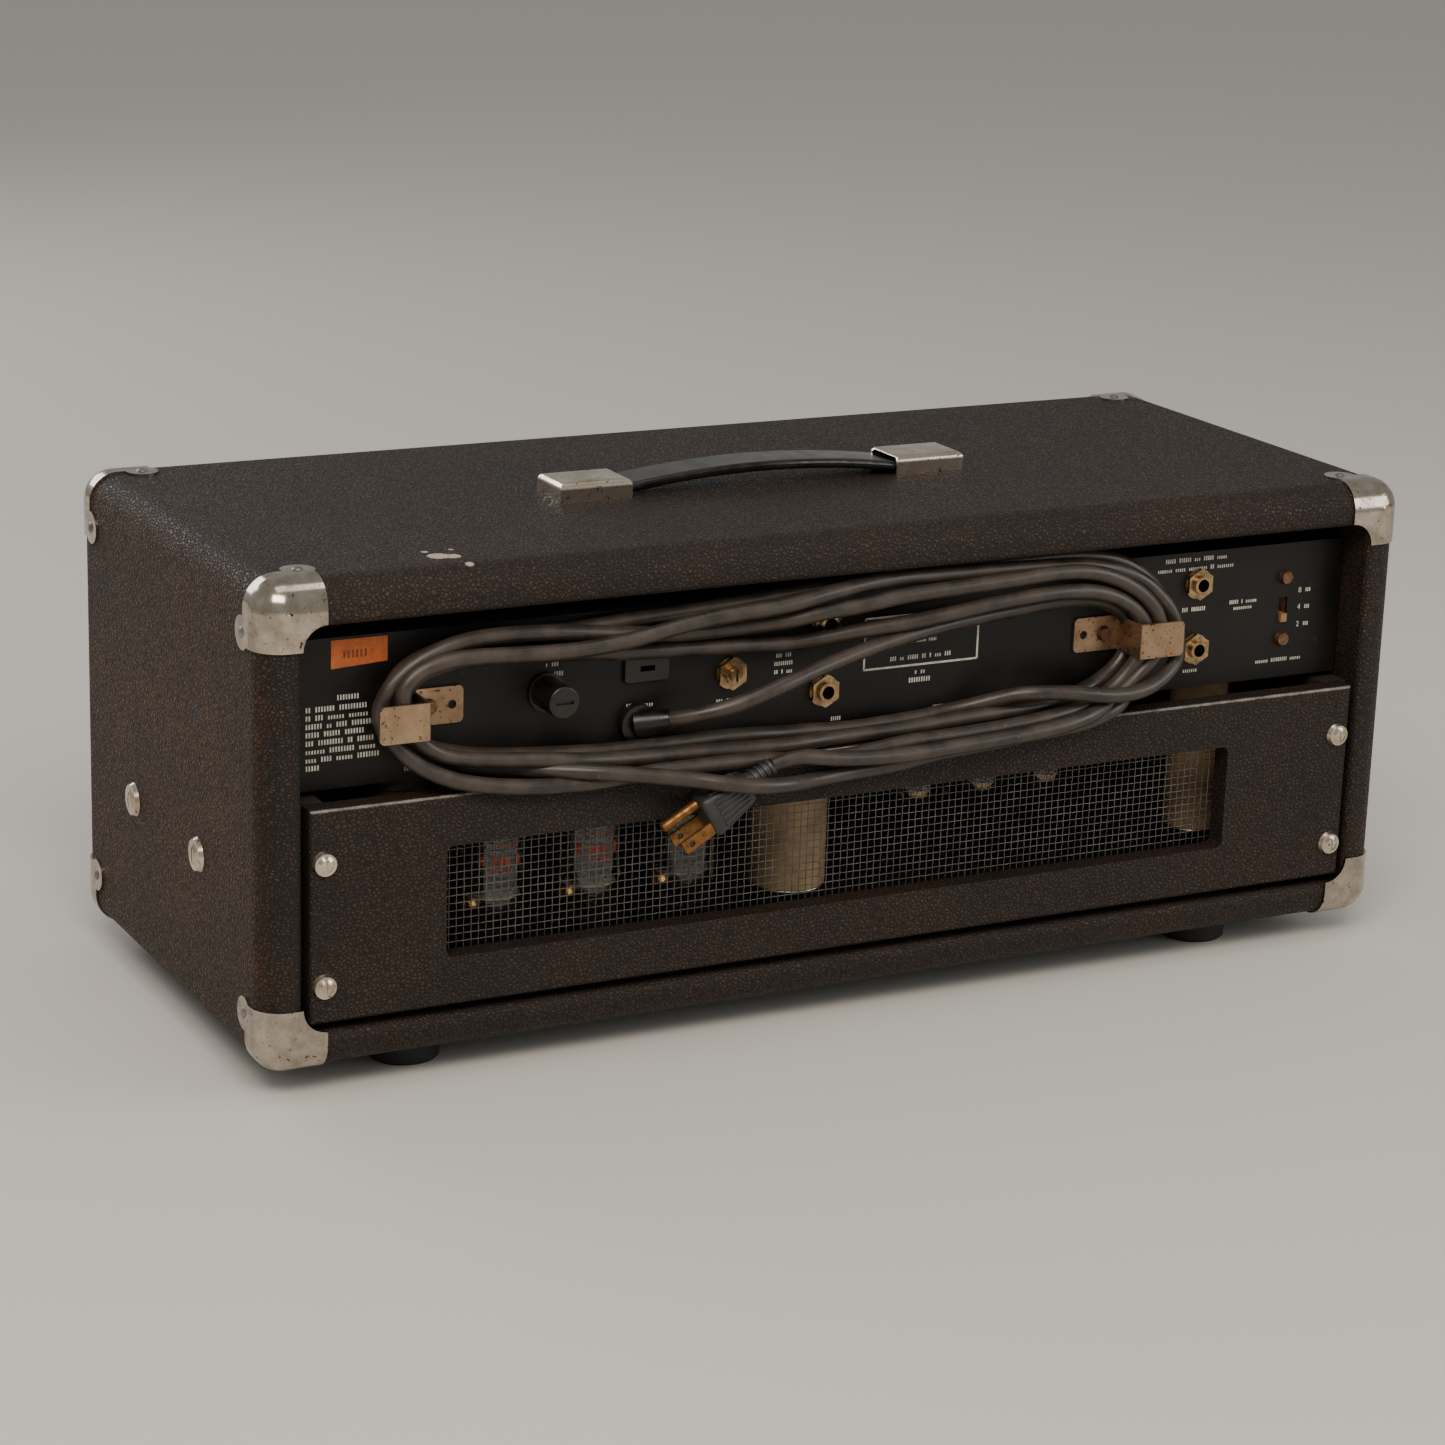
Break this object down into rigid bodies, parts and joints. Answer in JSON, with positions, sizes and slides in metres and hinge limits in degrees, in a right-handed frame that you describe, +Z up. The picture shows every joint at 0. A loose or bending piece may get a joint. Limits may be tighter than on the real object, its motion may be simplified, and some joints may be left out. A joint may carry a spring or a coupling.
{
  "type": "guitar amplifier head",
  "caption": "Vinyl-covered guitar amplifier head with a top handle, front controls, valves behind a rear wire screen, and a power cord wound on rear hooks.",
  "frame": {"origin": "on the ground under the middle of the cabinet, level with the undersides of the rubber feet", "axes": "+X along the width, towards the fuse end, +Y out of the rear, +Z up"},
  "size_m": [0.6224, 0.2784, 0.2556],
  "materials": {
    "vinyl": "dark grained vinyl, satin",
    "plywood": "bare birch plywood, matt",
    "chrome": "worn chrome plate with rust pits",
    "nickel": "brushed nickel plate, scratched",
    "foot_rubber": "black rubber, matt",
    "grip_vinyl": "black moulded vinyl, glossy",
    "steel": "zinc plated steel, dull",
    "black_paint": "black enamel, satin",
    "control_face": "black enamel with white print",
    "wire_mesh": "grey galvanised wire cloth",
    "plated_brass": "tarnished nickel over brass",
    "black_plastic": "black phenolic, satin",
    "white_plastic": "off-white plastic, glossy",
    "cadmium": "yellowed cadmium plate with rust specks",
    "lamp_jewel": "red faceted jewel, glossy",
    "valve_glass": "clear glass, glossy",
    "fuse_glass": "clear glass with plated ends",
    "socket_phenolic": "dark brown phenolic",
    "grille_cloth": "woven cloth, dark grey",
    "cord_rubber": "grey-brown rubber, semi-gloss, scuffed",
    "plug_rubber": "moulded dark grey rubber, ribbed",
    "blade_brass": "corroded orange-brown brass",
    "transformer_paint": "black enamel on laminated steel",
    "can_sleeve": "tan card sleeve",
    "board_phenolic": "brown phenolic board"
  },
  "bodies": {
    "case": {"top_board": "plywood", "bottom_board": "plywood", "side_boards": "plywood", "vinyl_covering": "vinyl", "corner_protectors": "chrome", "rubber_feet": "foot_rubber", "foot_screws": "steel", "handle_end_caps": "nickel", "handle_bolts": "steel", "rear_panel": "vinyl", "wire_screen": "wire_mesh", "rear_panel_screws": "nickel", "cup_washers": "nickel", "panel_cleats": "plywood", "chassis_pan": "black_paint", "chassis_brackets": "cadmium", "chassis_bolts": "nickel", "control_panel": "control_face", "baffle": "plywood", "grille_cloth": "grille_cloth", "control_pots": "cadmium", "bushing_nuts": "plated_brass", "rocker_housings": "black_plastic", "pilot_lamp": "lamp_jewel", "jacks": "plated_brass", "fuse_holder": "black_plastic", "ac_outlet": "black_plastic", "hum_balance_pot": "cadmium", "impedance_switch": "cadmium", "cord_hooks": "cadmium", "panel_screws": "steel", "strain_relief": "black_plastic", "cord_lead": "cord_rubber", "cord_hank": "cord_rubber", "plug_body": "plug_rubber", "plug_blades": "blade_brass", "power_transformer": "transformer_paint", "output_transformer": "transformer_paint", "filter_capacitors": "can_sleeve", "power_valves": "valve_glass", "preamp_valves": "valve_glass", "valve_sockets": "socket_phenolic", "circuit_board": "board_phenolic"},
    "volume": {"volume_knob": "black_plastic", "volume_shaft": "plated_brass"},
    "bass": {"bass_knob": "black_plastic", "bass_shaft": "plated_brass"},
    "midrange": {"midrange_knob": "black_plastic", "midrange_shaft": "plated_brass"},
    "treble": {"treble_knob": "black_plastic", "treble_shaft": "plated_brass"},
    "power_switch": {"power_rocker": "white_plastic"},
    "standby_switch": {"standby_rocker": "white_plastic"},
    "midrange_switch": {"midrange_selector_rocker": "black_plastic"},
    "handle": {"handle_strap": "steel", "handle_grip": "grip_vinyl"},
    "fuse_link": {"fuse": "fuse_glass"},
    "fuse_cap": {"fuse_cap": "black_plastic"},
    "hum_balance": {"hum_balance_shaft": "plated_brass"},
    "impedance": {"impedance_slider": "black_plastic"}
  },
  "joints": [
    {"name": "volume_turn", "type": "hinge", "parent": "case", "child": "volume", "pos_m": [-0.16, -0.10825, 0.1745], "axis": [0, -1, 0], "range_deg": [-150, 150]},
    {"name": "bass_turn", "type": "hinge", "parent": "case", "child": "bass", "pos_m": [-0.095, -0.10825, 0.1745], "axis": [0, -1, 0], "range_deg": [-150, 150]},
    {"name": "midrange_turn", "type": "hinge", "parent": "case", "child": "midrange", "pos_m": [-0.03, -0.10825, 0.1745], "axis": [0, -1, 0], "range_deg": [-150, 150]},
    {"name": "treble_turn", "type": "hinge", "parent": "case", "child": "treble", "pos_m": [0.07, -0.10825, 0.1745], "axis": [0, -1, 0], "range_deg": [-150, 150]},
    {"name": "midrange_switch_rock", "type": "hinge", "parent": "case", "child": "midrange_switch", "pos_m": [0.02, -0.1015, 0.1745], "axis": [-1, 0, 0], "range_deg": [0, 24]},
    {"name": "standby_switch_rock", "type": "hinge", "parent": "case", "child": "standby_switch", "pos_m": [0.16, -0.1015, 0.1745], "axis": [-1, 0, 0], "range_deg": [0, 24]},
    {"name": "power_switch_rock", "type": "hinge", "parent": "case", "child": "power_switch", "pos_m": [0.205, -0.1015, 0.1745], "axis": [-1, 0, 0], "range_deg": [0, 24]},
    {"name": "handle_lift", "type": "slide", "parent": "case", "child": "handle", "axis": [0, 0, 1], "range_m": [0, 0.0015]},
    {"name": "fuse_pull", "type": "slide", "parent": "case", "child": "fuse_link", "axis": [0, 1, 0], "range_m": [0, 0.036]},
    {"name": "fuse_cap_turn", "type": "hinge", "parent": "fuse_link", "child": "fuse_cap", "pos_m": [0.162, 0.10675, 0.1766], "axis": [0, 1, 0], "range_deg": [0, 45]},
    {"name": "hum_balance_turn", "type": "hinge", "parent": "case", "child": "hum_balance", "pos_m": [0.0655, 0.10675, 0.1757], "axis": [0, 1, 0], "range_deg": [-140, 140]},
    {"name": "impedance_slide", "type": "slide", "parent": "case", "child": "impedance", "axis": [0, 0, 1], "range_m": [0, 0.0082]}
  ]
}
